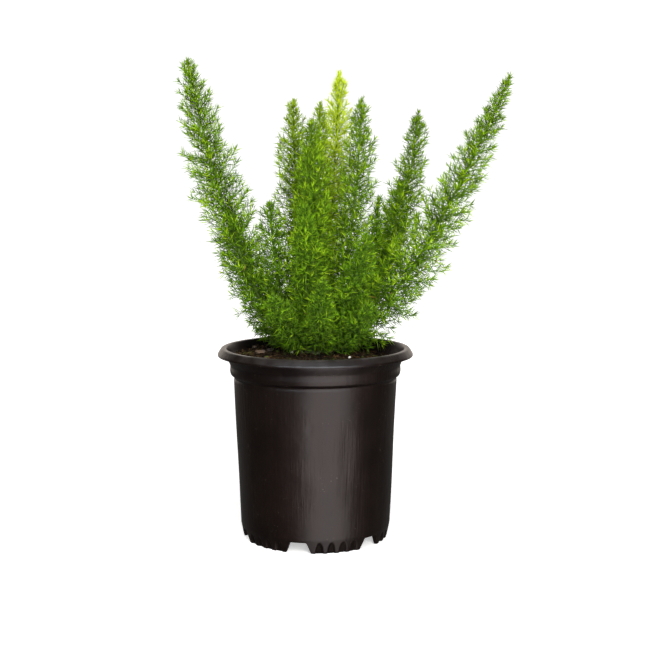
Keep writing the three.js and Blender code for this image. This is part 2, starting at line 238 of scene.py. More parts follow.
def grid_triangles(rows, columns, first=0):
    """Triangles of a grid that closes round its columns, outwards when rows run up the outside."""
    row = np.arange(rows - 1)[:, None] * columns + first
    here = np.arange(columns)[None, :]
    after = (here + 1) % columns
    a, b, c, d = row + here, row + after, row + columns + after, row + columns + here
    return np.concatenate([np.stack([a, b, c], -1), np.stack([a, c, d], -1)]).reshape(-1, 3)


def tube(path, radii, sides):
    """A closed round tube along a path, in millimetres."""
    path = np.asarray(path, float)
    along = unit(np.gradient(path, axis=0))
    lean = np.array([0.31, 0.87, 0.38])
    side = unit(np.cross(along, lean))
    up = np.cross(along, side)
    angle = np.arange(sides) / sides * TURN
    ring = side[:, None] * np.cos(angle)[None, :, None] + up[:, None] * np.sin(angle)[None, :, None]
    shell = path[:, None] + ring * np.asarray(radii, float)[:, None, None]
    points = np.concatenate([shell.reshape(-1, 3), path[:1], path[-1:]])
    rows, start, end = len(path), len(path) * sides, len(path) * sides + 1
    here = np.arange(sides)
    after = (here + 1) % sides
    last = (rows - 1) * sides
    caps = [np.stack([np.full(sides, start), after, here], 1),
            np.stack([np.full(sides, end), last + here, last + after], 1)]
    return points, np.concatenate([grid_triangles(rows, sides), *caps])


def fillet(path, radius, steps=4):
    """Rounds the inner corners of an open path of [radius, height] points."""
    path = [np.array(p, float) for p in path]
    out = [path[0]]
    for before, corner, after in zip(path, path[1:], path[2:]):
        nearer = min(np.linalg.norm(before - corner) * 0.45, np.linalg.norm(after - corner) * 0.45)
        reach = min(radius, nearer)
        start = corner + unit(before - corner) * reach
        end = corner + unit(after - corner) * reach
        for share in np.linspace(0, 1, steps):
            out.append((1 - share) ** 2 * start + 2 * share * (1 - share) * corner + share ** 2 * end)
    out.append(path[-1])
    return out


def densify(path, longest):
    """Splits the stretches of a path that are longer than they may be."""
    out = [path[0]]
    for here, there in zip(path, path[1:]):
        pieces = max(1, math.ceil(np.linalg.norm(there - here) / longest(here, there)))
        out += [here + (there - here) * i / pieces for i in range(1, pieces + 1)]
    return np.array(out)


# -------------------------------------------------------------------------- materials
class Paint:
    """A small helper for one node material."""

    def __init__(self, name, roughness, specular):
        self.material = bpy.data.materials.new(name)
        self.material.use_nodes = True
        self.tree = self.material.node_tree
        self.shader = self.tree.nodes["Principled BSDF"]
        self.shader.inputs["Roughness"].default_value = roughness
        self.shader.inputs["Specular IOR Level"].default_value = specular

    def node(self, kind, **values):
        made = self.tree.nodes.new(kind)
        for key, value in values.items():
            setattr(made, key, value)
        return made

    def link(self, source, target):
        self.tree.links.new(source, target)

    def position(self, stretch=(1, 1, 1)):
        place = self.node("ShaderNodeTexCoord")
        mapping = self.node("ShaderNodeMapping")
        mapping.inputs["Scale"].default_value = stretch
        self.link(place.outputs["Object"], mapping.inputs["Vector"])
        return mapping.outputs["Vector"]

    def noise(self, scale, detail=4, stretch=(1, 1, 1), roughness=0.55):
        made = self.node("ShaderNodeTexNoise")
        made.inputs["Scale"].default_value = scale
        made.inputs["Detail"].default_value = detail
        made.inputs["Roughness"].default_value = roughness
        self.link(self.position(stretch), made.inputs["Vector"])
        return made.outputs["Fac"]

    def cells(self, scale, stretch=(1, 1, 1)):
        made = self.node("ShaderNodeTexVoronoi")
        made.inputs["Scale"].default_value = scale
        self.link(self.position(stretch), made.inputs["Vector"])
        return made

    def ramp(self, source, stops):
        made = self.node("ShaderNodeValToRGB")
        bar = made.color_ramp
        while len(bar.elements) < len(stops):
            bar.elements.new(0.5)
        for element, (place, colour) in zip(bar.elements, stops):
            element.position = place
            element.color = (*colour, 1) if isinstance(colour, tuple) else (colour, colour, colour, 1)
        self.link(source, made.inputs["Fac"])
        return made.outputs["Color"]

    def mix(self, share, first, second, how="MIX"):
        made = self.node("ShaderNodeMix", data_type="RGBA", blend_type=how)
        for socket, value in ((0, share), (6, first), (7, second)):
            if isinstance(value, bpy.types.NodeSocket):
                self.link(value, made.inputs[socket])
            else:
                made.inputs[socket].default_value = (*value, 1) if isinstance(value, tuple) else value
        return made.outputs[2]

    def mark(self):
        """The piece's own marks, split into three numbers."""
        source = self.node("ShaderNodeAttribute", attribute_name="mark")
        split = self.node("ShaderNodeSeparateColor")
        self.link(source.outputs["Color"], split.inputs["Color"])
        return split.outputs

    def facing_up(self):
        source = self.node("ShaderNodeNewGeometry")
        split = self.node("ShaderNodeSeparateXYZ")
        self.link(source.outputs["Normal"], split.inputs["Vector"])
        return split.outputs["Z"]

    def math(self, how, first, second):
        made = self.node("ShaderNodeMath", operation=how, use_clamp=True)
        for socket, value in enumerate((first, second)):
            if isinstance(value, bpy.types.NodeSocket):
                self.link(value, made.inputs[socket])
            else:
                made.inputs[socket].default_value = value
        return made.outputs["Value"]

    def colour(self, source):
        self.link(source, self.shader.inputs["Base Color"])

    def roughness(self, source, low, high):
        self.link(self.ramp(source, [(0, low), (1, high)]), self.shader.inputs["Roughness"])

    def bump(self, *layers):
        """Layers of (height, strength, distance in millimetres), finest last."""
        normal = None
        for source, strength, distance in layers:
            made = self.node("ShaderNodeBump")
            made.inputs["Strength"].default_value = strength
            made.inputs["Distance"].default_value = distance * MM
            self.link(source, made.inputs["Height"])
            if normal is not None:
                self.link(normal, made.inputs["Normal"])
            normal = made.outputs["Normal"]
        self.link(normal, self.shader.inputs["Normal"])


def pot_material():
    paint = Paint("pot_plastic", 0.4, 0.09)
    streaks = paint.noise(90, 5, (1, 1, 0.04))
    cloud = paint.noise(22, 4)
    grain = paint.noise(1400, 2)
    base = paint.ramp(cloud, [(0.3, (0.0026, 0.0008, 0.0004)), (0.7, (0.0052, 0.002, 0.001))])
    base = paint.mix(paint.ramp(streaks, [(0.45, 0.0), (0.75, 0.55)]), base, (0.0075, 0.0036, 0.0022))
    specks = paint.cells(420)
    dusty = paint.math("MULTIPLY", paint.ramp(specks.outputs["Distance"], [(0.05, 1.0), (0.16, 0.0)]),
                       paint.ramp(paint.noise(60, 3), [(0.56, 0.0), (0.72, 0.8)]))
    base = paint.mix(dusty, base, (0.16, 0.135, 0.105))
    # Partly dust, partly painted sheen: faces that point up, such as the lip's top, are mixed towards a
    # lighter grey.
    top = paint.ramp(paint.facing_up(), [(0.3, 0.0), (0.62, 0.3), (0.95, 1.0)])
    dust_and_sheen = paint.math("MULTIPLY", top, paint.ramp(paint.noise(75, 6), [(0.38, 0.15), (0.7, 0.9)]))
    base = paint.mix(dust_and_sheen, base, (0.075, 0.069, 0.066))
    paint.colour(base)
    worn = paint.mix(0.5, streaks, cloud)
    paint.roughness(worn, 0.28, 0.46)
    scuffs = paint.math("MULTIPLY", paint.noise(520, 3, (1, 1, 0.05)),
                        paint.ramp(cloud, [(0.4, 0.0), (0.62, 1.0)]))
    paint.bump((streaks, 0.35, 0.25), (cloud, 0.3, 0.6), (scuffs, 0.9, 0.35), (grain, 0.14, 0.08))
    return paint.material


def soil_material():
    paint = Paint("potting_mix", 0.95, 0.02)
    tone, kind, _ = (paint.mark()[i] for i in range(3))
    lumps = paint.noise(260, 6, roughness=0.7)
    browns = paint.ramp(lumps, [(0.3, (0.005, 0.0035, 0.002)), (0.5, (0.02, 0.012, 0.006)),
                                (0.64, (0.075, 0.048, 0.022)), (0.78, (0.19, 0.13, 0.065))])
    shade = paint.ramp(tone, [(0, (0.25, 0.25, 0.27)), (0.55, (0.9, 0.88, 0.85)), (1, (2.2, 1.95, 1.6))])
    browns = paint.mix(1.0, browns, shade, "MULTIPLY")
    moss = paint.ramp(paint.noise(700, 3), [(0.3, (0.03, 0.045, 0.008)), (0.7, (0.11, 0.14, 0.03))])
    patches = paint.ramp(paint.noise(38, 3), [(0.58, 0.0), (0.7, 0.55)])
    both = paint.math("ADD", paint.ramp(kind, [(0.7, 0.0), (0.9, 0.9)]), patches)
    paint.colour(paint.mix(both, browns, moss))
    paint.roughness(lumps, 0.82, 1.0)
    paint.bump((lumps, 0.9, 1.2), (paint.noise(1500, 4), 0.6, 0.3))
    return paint.material


def crown_material():
    paint = Paint("woody_crown", 0.85, 0.2)
    grain = paint.noise(320, 6, (1, 1, 0.3), 0.65)
    wood = paint.ramp(grain, [(0.3, (0.03, 0.02, 0.01)), (0.55, (0.12, 0.085, 0.04)),
                              (0.8, (0.26, 0.22, 0.1))])
    green = paint.ramp(paint.noise(60, 3), [(0.45, 0.0), (0.7, 0.6)])
    paint.colour(paint.mix(green, wood, (0.14, 0.2, 0.04)))
    paint.roughness(grain, 0.7, 0.95)
    paint.bump((grain, 0.8, 0.8), (paint.noise(1600, 3), 0.4, 0.2))
    return paint.material


def stem_material():
    paint = Paint("green_stem", 0.65, 0.05)
    tone, along, _ = (paint.mark()[i] for i in range(3))
    ribs = paint.noise(900, 3, (1, 1, 0.12))
    fresh = paint.ramp(along, [(0, (0.13, 0.11, 0.035)), (0.12, (0.09, 0.15, 0.022)),
                               (1, (0.1, 0.24, 0.012))])
    shade = paint.ramp(tone, [(0, (0.7, 0.7, 0.7)), (1, (1.2, 1.2, 1.1))])
    fresh = paint.mix(1.0, fresh, shade, "MULTIPLY")
    paint.colour(paint.mix(paint.ramp(ribs, [(0.4, 0.0), (0.8, 0.4)]), fresh, (0.1, 0.16, 0.03)))
    paint.roughness(ribs, 0.45, 0.65)
    paint.bump((ribs, 0.4, 0.15))
    return paint.material


def foliage_material():
    paint = Paint("foliage", 0.6, 0.05)
    tone, along, young_and_glow = (paint.mark()[i] for i in range(3))
    mottle = paint.noise(420, 3)
    # The tone mark holds random tone plus painted shade: needles near the cane and low in the tuft are
    # darker.
    green = paint.ramp(tone, [(0, (0.01, 0.045, 0.001)), (0.35, (0.08, 0.225, 0.002)),
                              (0.7, (0.2, 0.42, 0.003)), (0.985, (0.44, 0.66, 0.015)),
                              (1, (0.5, 0.24, 0.06))])
    bright = paint.mix(paint.ramp(along, [(0, 0.0), (1, 0.3)]), green, (0.4, 0.64, 0.01))
    bright = paint.mix(paint.ramp(mottle, [(0.35, 0.25), (0.7, 0.0)]), bright, (0.06, 0.19, 0.002))
    # Yellow young growth, plus a painted glow on the back-lit frond and its neighbours.
    paint.colour(paint.mix(young_and_glow, bright, (0.7, 0.86, 0.03)))
    paint.roughness(mottle, 0.55, 0.75)
    paint.bump((paint.noise(2500, 2), 0.2, 0.06))
    return paint.material


def perlite_material():
    paint = Paint("perlite", 0.9, 0.3)
    pits = paint.cells(900)
    chalk = paint.ramp(pits.outputs["Distance"], [(0, (0.5, 0.47, 0.42)), (0.35, (0.82, 0.8, 0.76))])
    stain = paint.ramp(paint.noise(500, 4), [(0.5, 0.0), (0.75, 0.5)])
    paint.colour(paint.mix(stain, chalk, (0.3, 0.22, 0.14)))
    paint.roughness(pits.outputs["Distance"], 0.8, 1.0)
    paint.bump((pits.outputs["Distance"], 0.7, 0.3), (paint.noise(2600, 3), 0.5, 0.1))
    return paint.material


def bark_material():
    paint = Paint("bark", 0.88, 0.2)
    fibres = paint.noise(420, 6, (1, 0.15, 1), 0.65)
    brown = paint.ramp(fibres, [(0.3, (0.035, 0.019, 0.01)), (0.55, (0.11, 0.062, 0.032)),
                                (0.8, (0.25, 0.16, 0.09))])
    grey = paint.ramp(paint.noise(170, 4), [(0.5, 0.0), (0.75, 0.5)])
    paint.colour(paint.mix(grey, brown, (0.16, 0.14, 0.12)))
    paint.roughness(fibres, 0.75, 0.95)
    paint.bump((fibres, 0.8, 0.5), (paint.noise(1900, 4), 0.5, 0.15))
    return paint.material


# -------------------------------------------------------------------------------- pot
def pot_path():
    """The pot's section from the middle of its underside, round the lip, to the floor's top."""
    top, rim = POT_HEIGHT, RIM_RADIUS
    underside = [(0, FLOOR_RAISE), (FOOT_RADIUS - FOOT_WALL, FLOOR_RAISE), (FOOT_RADIUS - FOOT_WALL, 0)]
    outside = [
        (FOOT_RADIUS, 0), (BODY_FOOT_RADIUS, HEEL_HEIGHT), (BODY_TOP_RADIUS, top - BODY_DROP),
        (rim - GROOVE_INSET, top - GROOVE_DROP), (rim - RIDGE_INSET - WALL / 2, top - RIDGE_FOOT_DROP),
        (rim - RIDGE_INSET, top - RIDGE_DROP), (rim - CREASE_INSET, top - NECK_DROP),
        (rim - NECK_INSET, top - LIP_DROP - WALL), (rim - NECK_INSET + WALL / 2, top - 2 * WALL),
        (MOUTH_RADIUS + LIP_CREST, top - 2 * WALL), (rim - WALL, top - LIP_DROP), (rim, top - LIP_DROP),
        (rim, top - LIP_DROP + LIP_EDGE), (MOUTH_RADIUS + LIP_CREST + 0.6, top), (MOUTH_RADIUS, top),
    ]
    insets = [(NECK_INSET, LIP_DROP), (CREASE_INSET, NECK_DROP), (RIDGE_INSET, RIDGE_DROP),
              (GROOVE_INSET, GROOVE_DROP), (BODY_INSET, BODY_DROP)]
    inside = [(rim - WALL - inset, top - drop) for inset, drop in insets]
    floor = FLOOR_RAISE + FLOOR_THICKNESS
    path = underside + outside + inside + [(BODY_FOOT_RADIUS - WALL, floor), (0, floor)]

    def longest(here, there):
        if min(here[0], there[0]) < FOOT_RADIUS - FOOT_WALL - 1:
            return FLOOR_STEP
        if max(here[1], there[1]) <= HEEL_HEIGHT + 1:
            return HEEL_STEP
        return WALL_STEP if abs(here[1] - there[1]) > 10 else SHORT_STEP

    return densify(fillet(path, CORNER_RADIUS), longest)


def notch_rise(angle):
    """How high the foot's lower edge is at an angle round the pot."""
    pitch = TURN / FEET
    aside = np.abs((angle - NOTCH_ANGLE + pitch / 2) % pitch - pitch / 2) * FOOT_RADIUS
    share = np.clip((NOTCH_FOOT_WIDTH / 2 - aside) / ((NOTCH_FOOT_WIDTH - NOTCH_TOP_WIDTH) / 2), 0, 1)
    return NOTCH_HEIGHT * (0.35 * share + 0.65 * share * share * (3 - 2 * share))


def flute_depth(angle, height):
    """How deep the arched flutes are cut at a place on the foot's face."""
    pitch = TURN / FEET
    about = (angle - NOTCH_ANGLE) % pitch - pitch / 2
    depth = np.zeros(np.broadcast(angle, height).shape)
    for i in range(FLUTES_PER_FOOT):
        aside = (about - (i - (FLUTES_PER_FOOT - 1) / 2) * FLUTE_PITCH) * FOOT_RADIUS
        arch = np.hypot(aside / (FLUTE_WIDTH / 2), height / FLUTE_HEIGHT)
        cut = smooth_step(*FLUTE_EDGE, arch) * (1 - FLUTE_FADE * np.clip(height / FLUTE_HEIGHT, 0, 1))
        depth += FLUTE_DEPTH * cut
    return depth


def wall_sway(angle, height):
    """How far the thin wall stands out from its true shape."""
    sway = 0.18 * np.sin(2 * angle + 0.6) + 0.1 * np.sin(5 * angle + height * 0.045)
    for degrees, middle, half_width, half_height, depth in DENTS:
        aside = (angle - math.radians(degrees - 90) + math.pi) % TURN - math.pi
        aside = aside * BODY_TOP_RADIUS
        sway -= depth * np.exp(-(aside / half_width) ** 2 - ((height - middle) / half_height) ** 2)
    return sway * smooth_step(HEEL_HEIGHT, HEEL_HEIGHT + 25, height) * smooth_step(
        POT_HEIGHT - GROOVE_DROP, POT_HEIGHT - BODY_DROP - 12, height)


def shape_ring(radius, height, angle):
    """One ring of the pot's skin with its notches, flutes and dents."""
    r = np.full(len(angle), float(radius))
    z = np.full(len(angle), float(height))
    if radius > FOOT_RADIUS - FOOT_WALL - 0.7:
        rise = notch_rise(angle)
        outer = radius > FOOT_RADIUS - FOOT_WALL / 2
        if outer and height < HEEL_HEIGHT:
            z = rise + height * (HEEL_HEIGHT - rise) / HEEL_HEIGHT
            r = r + (z - height) * HEEL_INSET / HEEL_HEIGHT
            r = r - flute_depth(angle, z)
        elif not outer and height < FLOOR_RAISE:
            z = rise + height * (FLOOR_RAISE - rise) / FLOOR_RAISE
    if radius > FOOT_RADIUS - FOOT_WALL:
        r = r + wall_sway(angle, z)
    return np.stack([r * np.cos(angle), r * np.sin(angle), z], 1)


def ring_uv(triangles, columns, shares):
    """A bake map of an unrolled ringed skin with a point at each end."""
    rows = len(shares)
    row = np.clip(triangles // columns, 0, rows - 1)
    column = (triangles % columns).astype(float)
    poles = triangles >= rows * columns
    wraps = (column.max(1) - np.where(poles, column.max(1)[:, None], column).min(1)) > columns / 2
    column = np.where(wraps[:, None] & (column < columns / 2) & ~poles, column + columns, column)
    ends = np.where(triangles == rows * columns, 0.0, 1.0)
    inner = 0.01 + 0.98 * np.asarray(shares)[row]
    v = np.where(poles, ends, inner)
    kept = np.where(poles, np.nan, column)
    middle = np.nanmean(kept, axis=1)[:, None]
    u = np.where(poles, middle, column) / (columns + 1)
    return np.stack([u, v], -1).reshape(-1, 2)


def ringed_skin(rings):
    """A closed skin from rings of points, with a middle point at its first and last ring."""
    columns = len(rings[0])
    rows = len(rings)
    points = np.concatenate([*rings, rings[0].mean(0)[None], rings[-1].mean(0)[None]])
    here = np.arange(columns)
    after = (here + 1) % columns
    last = (rows - 1) * columns
    start, end = rows * columns, rows * columns + 1
    caps = [np.stack([np.full(columns, start), after, here], 1),
            np.stack([np.full(columns, end), last + here, last + after], 1)]
    triangles = np.concatenate([grid_triangles(rows, columns), *caps])
    steps = [np.linalg.norm(b[0] - a[0]) + 0.2 for a, b in zip(rings, rings[1:])]
    shares = np.concatenate([[0], np.cumsum(steps)]) / sum(steps)
    return points, triangles, ring_uv(triangles, columns, shares)


def drain_holes(pot):
    """Cuts the six drain holes through the raised floor."""
    pile = Pile()
    middle = FLOOR_RAISE + FLOOR_THICKNESS / 2
    for i in range(FEET):
        angle = NOTCH_ANGLE + i * TURN / FEET
        x = (FOOT_RADIUS - DRAIN_INSET) * math.cos(angle)
        y = (FOOT_RADIUS - DRAIN_INSET) * math.sin(angle)
        path = [(x, y, middle - 4), (x, y, middle), (x, y, middle + 4)]
        pile.add(*tube(path, [DRAIN_RADIUS] * 3, 36))
    cutter = pile.build("drain_cutter", pot.data.materials[0])
    cut = pot.modifiers.new("drains", "BOOLEAN")
    cut.operation = "DIFFERENCE"
    cut.solver = "EXACT"
    cut.object = cutter
    depsgraph = bpy.context.evaluated_depsgraph_get()
    drilled = bpy.data.meshes.new_from_object(pot.evaluated_get(depsgraph))
    pot.modifiers.clear()
    pot.data = drilled
    bpy.data.objects.remove(cutter, do_unlink=True)


def make_pot():
    angle = np.arange(POT_ANGLES) / POT_ANGLES * TURN
    path = pot_path()[1:-1]
    rings = [shape_ring(radius, height, angle) for radius, height in path]
    points, triangles, uv = ringed_skin(rings)
    pot = make_object("pot_shell", pot_material(), points, triangles, uv=uv)
    drain_holes(pot)
    settle(pot, "pot_plastic", "pot")


# ------------------------------------------------------------------------------- soil
def soil_level(x, y):
    """Height of the mix at a place, with its lumps and its settled side."""
    away = np.hypot(x, y) / SOIL_RADIUS
    turn = (np.arctan2(y, x) - SUNK_SIDE + math.pi) % TURN - math.pi
    sunk = SUNK_DEPTH * smooth_step(0.55, 1, away) * smooth_step(1.15, 0.2, np.abs(turn))
    lumps = np.array([
        1.5 * noise.noise(Vector((a * 0.09, b * 0.09, 3.1)))
        + 0.9 * noise.noise(Vector((a * 0.26, b * 0.26, 7.7)))
        + 0.5 * noise.noise(Vector((a * 0.8, b * 0.8, 1.3)))
        for a, b in zip(np.ravel(x), np.ravel(y))
    ]).reshape(np.shape(x))
    return SOIL_EDGE + MOUND * (1 - away ** 2) - sunk + lumps


def grains(pile, rng, places, sizes, kinds, flat=0.75):
    """Many small lumpy grains, as closed twenty-sided bodies."""
    t = (1 + math.sqrt(5)) / 2
    base = unit(np.array([(-1, t, 0), (1, t, 0), (-1, -t, 0), (1, -t, 0), (0, -1, t), (0, 1, t),
                          (0, -1, -t), (0, 1, -t), (t, 0, -1), (t, 0, 1), (-t, 0, -1), (-t, 0, 1)]))
    faces = np.array([(0, 11, 5), (0, 5, 1), (0, 1, 7), (0, 7, 10), (0, 10, 11), (1, 5, 9), (5, 11, 4),
                      (11, 10, 2), (10, 7, 6), (7, 1, 8), (3, 9, 4), (3, 4, 2), (3, 2, 6), (3, 6, 8),
                      (3, 8, 9), (4, 9, 5), (2, 4, 11), (6, 2, 10), (8, 6, 7), (9, 8, 1)])
    for place, size, kind in zip(places, sizes, kinds):
        body = base * rng.uniform(0.7, 1.2, (12, 1)) * rng.uniform(0.65, 1.1, 3) * size / 2
        spin = np.linalg.qr(rng.normal(size=(3, 3)))[0]
        if np.linalg.det(spin) < 0:
            spin[:, 0] *= -1
        body = body @ spin.T * (1, 1, flat)
        pile.add(body + place, faces, (rng.uniform(0, 1), kind, 0.5))


def soil_body():
    angle = np.arange(SOIL_ANGLES) / SOIL_ANGLES * TURN
    floor = FLOOR_RAISE + FLOOR_THICKNESS + 0.3
    foot = BODY_FOOT_RADIUS - WALL - 1.2
    wall = BODY_TOP_RADIUS - WALL - 1.2
    rings = []
    for radius, height in [(foot * 0.5, floor), (foot, floor), (foot, floor + 1),
                           (wall, POT_HEIGHT - BODY_DROP), (wall, POT_HEIGHT - GROOVE_DROP + 2)]:
        level = np.full(SOIL_ANGLES, height)
        rings.append(np.stack([radius * np.cos(angle), radius * np.sin(angle), level], 1))
    for share in [1, 0.985, *np.linspace(0.96, 0.02, SOIL_SHARES)]:
        x, y = share * SOIL_RADIUS * np.cos(angle), share * SOIL_RADIUS * np.sin(angle)
        drop = 2.5 if share == 1 else 0
        rings.append(np.stack([x, y, soil_level(x, y) - drop], 1))
    return ringed_skin(rings)


def make_soil():
    rng = np.random.default_rng(11)
    material = soil_material()
    points, triangles, uv = soil_body()
    marks = np.broadcast_to(np.array([0.35, 0.0, 0.5]), (len(points), 3))
    soil = make_object("soil_bed", material, points, triangles, marks, uv)
    settle(soil, "potting_mix", "soil")

    away = np.sqrt(rng.uniform(0.03, 1, CRUMBS)) * (SOIL_RADIUS - 2.2)
    turn = rng.uniform(0, TURN, CRUMBS)
    x, y = away * np.cos(turn), away * np.sin(turn)
    sizes = np.clip(rng.lognormal(0.55, 0.5, CRUMBS), 0.8, 6.5)
    places = np.stack([x, y, soil_level(x, y) + sizes * 0.12], 1)
    kinds = (rng.uniform(0, 1, CRUMBS) > 0.93).astype(float)
    pile = Pile()
    grains(pile, rng, places, sizes, kinds)
    for _ in range(FIBRES):
        pile.add(*fibre(rng), (rng.uniform(0.6, 1), 0, 0.5))
    crumbs = pile.build("soil_crumbs", material)
    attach(crumbs, BODY)


def fibre(rng):
    """A dry root or needle lying on the mix."""
    away, turn = math.sqrt(rng.uniform(0.05, 1)) * (SOIL_RADIUS - 9), rng.uniform(0, TURN)
    length, heading, curl = rng.uniform(5, 17), rng.uniform(0, TURN), rng.uniform(-0.09, 0.09)
    path = []
    x, y = away * math.cos(turn), away * math.sin(turn)
    for _ in range(7):
        reach = np.hypot(x, y)
        if reach > SOIL_RADIUS - 3:
            x, y = x * (SOIL_RADIUS - 3) / reach, y * (SOIL_RADIUS - 3) / reach
        path.append((x, y, float(soil_level(x, y)) + rng.uniform(0.5, 1.5)))
        x += length / 6 * math.cos(heading)
        y += length / 6 * math.sin(heading)
        heading += curl * length
    return tube(path, np.array([0.12, 0.22, 0.26, 0.28, 0.25, 0.2, 0.1]), 5)


def make_crown():
    low, high = (from_metres(corner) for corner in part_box("crown"))
    centre = (low + high) / 2
    size = (high - low) / 2
    angle = np.arange(CROWN_ANGLES) / CROWN_ANGLES * TURN
    rings = []
    for lift in np.linspace(-82, 84, CROWN_RINGS):
        ring, rise = math.cos(math.radians(lift)), math.sin(math.radians(lift))
        points = np.stack([np.cos(angle) * ring, np.sin(angle) * ring, np.full(CROWN_ANGLES, rise)], 1)
        bulge = np.array([noise.noise(Vector(p) * 3.4) * 0.16 + noise.noise(Vector(p) * 9) * 0.07
                          for p in points])
        rings.append(centre + points * (size * 0.95) * (1 + bulge)[:, None])
    points, triangles, uv = ringed_skin(rings)
    crown = make_object("crown_wood", crown_material(), points, triangles, uv=uv)
    settle(crown, "woody_crown", "crown")

    rng = np.random.default_rng(5)
    pile = Pile()
    for _ in range(STUBS):
        turn, away = rng.uniform(0, TURN), rng.uniform(0.15, 0.85)
        x = centre[0] + size[0] * away * math.cos(turn)
        y = centre[1] + size[1] * away * math.sin(turn)
        foot = centre[2] + size[2] * math.sqrt(1 - away ** 2) * 0.7
        lean = rng.uniform(0.1, 0.5) * away
        rise = rng.uniform(2.5, 8)
        path = [(x + lean * s * rise * math.cos(turn), y + lean * s * rise * math.sin(turn),
                 foot + s * rise) for s in (-0.3, 0, 0.5, 0.92, 1)]
        width = rng.uniform(0.8, 1.7)
        pile.add(*tube(path, np.array([1.25, 1.15, 1, 0.95, 0.75]) * width, 9))
    stubs = pile.build("crown_stubs", crown.data.materials[0])
    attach(stubs, BODY)


# ------------------------------------------------------------------------ loose pieces
def loose_piece(name, node, slot, material, seed, roughness, crumple):
    """A rough grain or chip in the box of its CAD node."""
    low, high = (from_metres(corner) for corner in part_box(node))
    centre, size = (low + high) / 2, (high - low) / 2
    angle = np.arange(LOOSE_ANGLES) / LOOSE_ANGLES * TURN
    rings = []
    for lift in np.linspace(-84, 84, LOOSE_RINGS):
        ring, rise = math.cos(math.radians(lift)), math.sin(math.radians(lift))
        points = np.stack([np.cos(angle) * ring, np.sin(angle) * ring, np.full(LOOSE_ANGLES, rise)], 1)
        points = np.sign(points) * np.abs(points) ** crumple
        bulge = np.array([
            noise.noise(Vector(p) * 1.7 + Vector((seed * 9.1, 0, 0))) * 1.3
            + noise.noise(Vector(p) * 5 + Vector((0, seed * 7.3, 0))) * 0.45
            for p in points]) * roughness
        rings.append(centre + points * size * (1 + bulge)[:, None])
    points, triangles, uv = ringed_skin(rings)
    settle(make_object(name, material, points, triangles, uv=uv), slot, node)


def make_loose():
    perlite, bark = perlite_material(), bark_material()
    for i in range(1, LOOSE_COUNT + 1):
        loose_piece(f"perlite_grain_{i}", f"perlite_{i}", "perlite", perlite, i, 0.22, 0.9)
        loose_piece(f"bark_shard_{i}", f"bark_chip_{i}", "bark", bark, i + 10, 0.3, 0.72)


# ----------------------------------------------------------------------------- fronds
def centre_line(number):
    """The middle of a frond's stem, on to the foliage's tip, and how far its foliage reaches."""
    nodes = frame["nodes"]
    stem = nodes[f"frond_{number:02d}_stem"].data
    leaf = nodes[f"frond_{number:02d}_foliage"].data
    points = from_metres([v.co for v in stem.vertices])
    edges = np.array([tuple(e.vertices) for e in stem.edges])
    foot = points[np.argmin(points[:, 2])]
    reach = from_metres([v.co for v in leaf.vertices])
    tip = reach[np.argmax(np.linalg.norm(reach - foot, axis=1))]
    chord = unit(tip - foot)
    place = (points - foot) @ chord
    middles = []
    for level in np.linspace(place.min() + 0.8, place.max() - 0.4, 26):
        a, b = place[edges[:, 0]], place[edges[:, 1]]
        crossing = (a - level) * (b - level) < 0
        share = ((level - a) / np.where(crossing, b - a, 1))[crossing][:, None]
        crossings = points[edges[crossing, 0]] * (1 - share) + points[edges[crossing, 1]] * share
        middles.append(crossings.mean(0))
    middles.append(tip)
    path = np.array(middles)
    length = np.concatenate([[0], np.cumsum(np.linalg.norm(np.diff(path, axis=0), axis=1))])
    even = np.arange(0, length[-1], LINE_STEP)
    line = np.stack([np.interp(even, length, path[:, i]) for i in range(3)], 1)
    for _ in range(12):
        line[1:-1] = (line[:-2] + 2 * line[1:-1] + line[2:]) / 4
    gaps = np.linalg.norm(reach[:, None] - line[None], axis=2).min(1)
    return line, float(gaps.max())


def clear_of_pot(points):
    """Which points are above the mix and don't touch the pot's lip."""
    away = np.hypot(points[:, 0], points[:, 1])
    over_soil = points[:, 2] > SOIL_EDGE + MOUND * (1 - (away / SOIL_RADIUS) ** 2) + 0.6
    over_lip = (away < MOUTH_RADIUS - 0.8) | (points[:, 2] > POT_HEIGHT + 0.8)
    return over_soil & over_lip


def needles_mesh(pile, base, ahead, flat, length, width, marks, curve):
    """Many slim curved needles, three-sided, each a closed body ending in a point."""
    ahead = unit(ahead)
    side = unit(np.cross(ahead, flat))
    normal = np.cross(side, ahead)
    count = len(base)
    rings = []
    for share, wide in ((0, 0.5), (0.4, 1.0)):
        centre = base + ahead * (length * share)[:, None] + normal * (curve * share ** 2)[:, None]
        half = side * (width * wide / 2)[:, None]
        thick = normal * (NEEDLE_THICKNESS * wide)
        rings.append(np.stack([centre - half, centre + half, centre + thick], 1))
    tip = base + ahead * length[:, None] + normal * curve[:, None]
    points = np.concatenate([rings[0], rings[1], tip[:, None]], 1)
    one = [(0, 2, 1)]
    for i in range(3):
        j = (i + 1) % 3
        one += [(i, j, j + 3), (i, j + 3, i + 3), (i + 3, j + 3, 6)]
    triangles = np.arange(count)[:, None, None] * 7 + np.array(one)[None]
    along = np.array([0, 0, 0, 0.4, 0.4, 0.4, 1.0])
    spread = np.stack([np.broadcast_to(marks[:, :1], (count, 7)),
                       np.broadcast_to(along, (count, 7)),
                       np.broadcast_to(marks[:, 1:2], (count, 7))], -1)
    pile.points.append(points.reshape(-1, 3))
    pile.triangles.append(triangles.reshape(-1, 3) + pile.count)
    pile.marks.append(spread.reshape(-1, 3))
    pile.count += count * 7


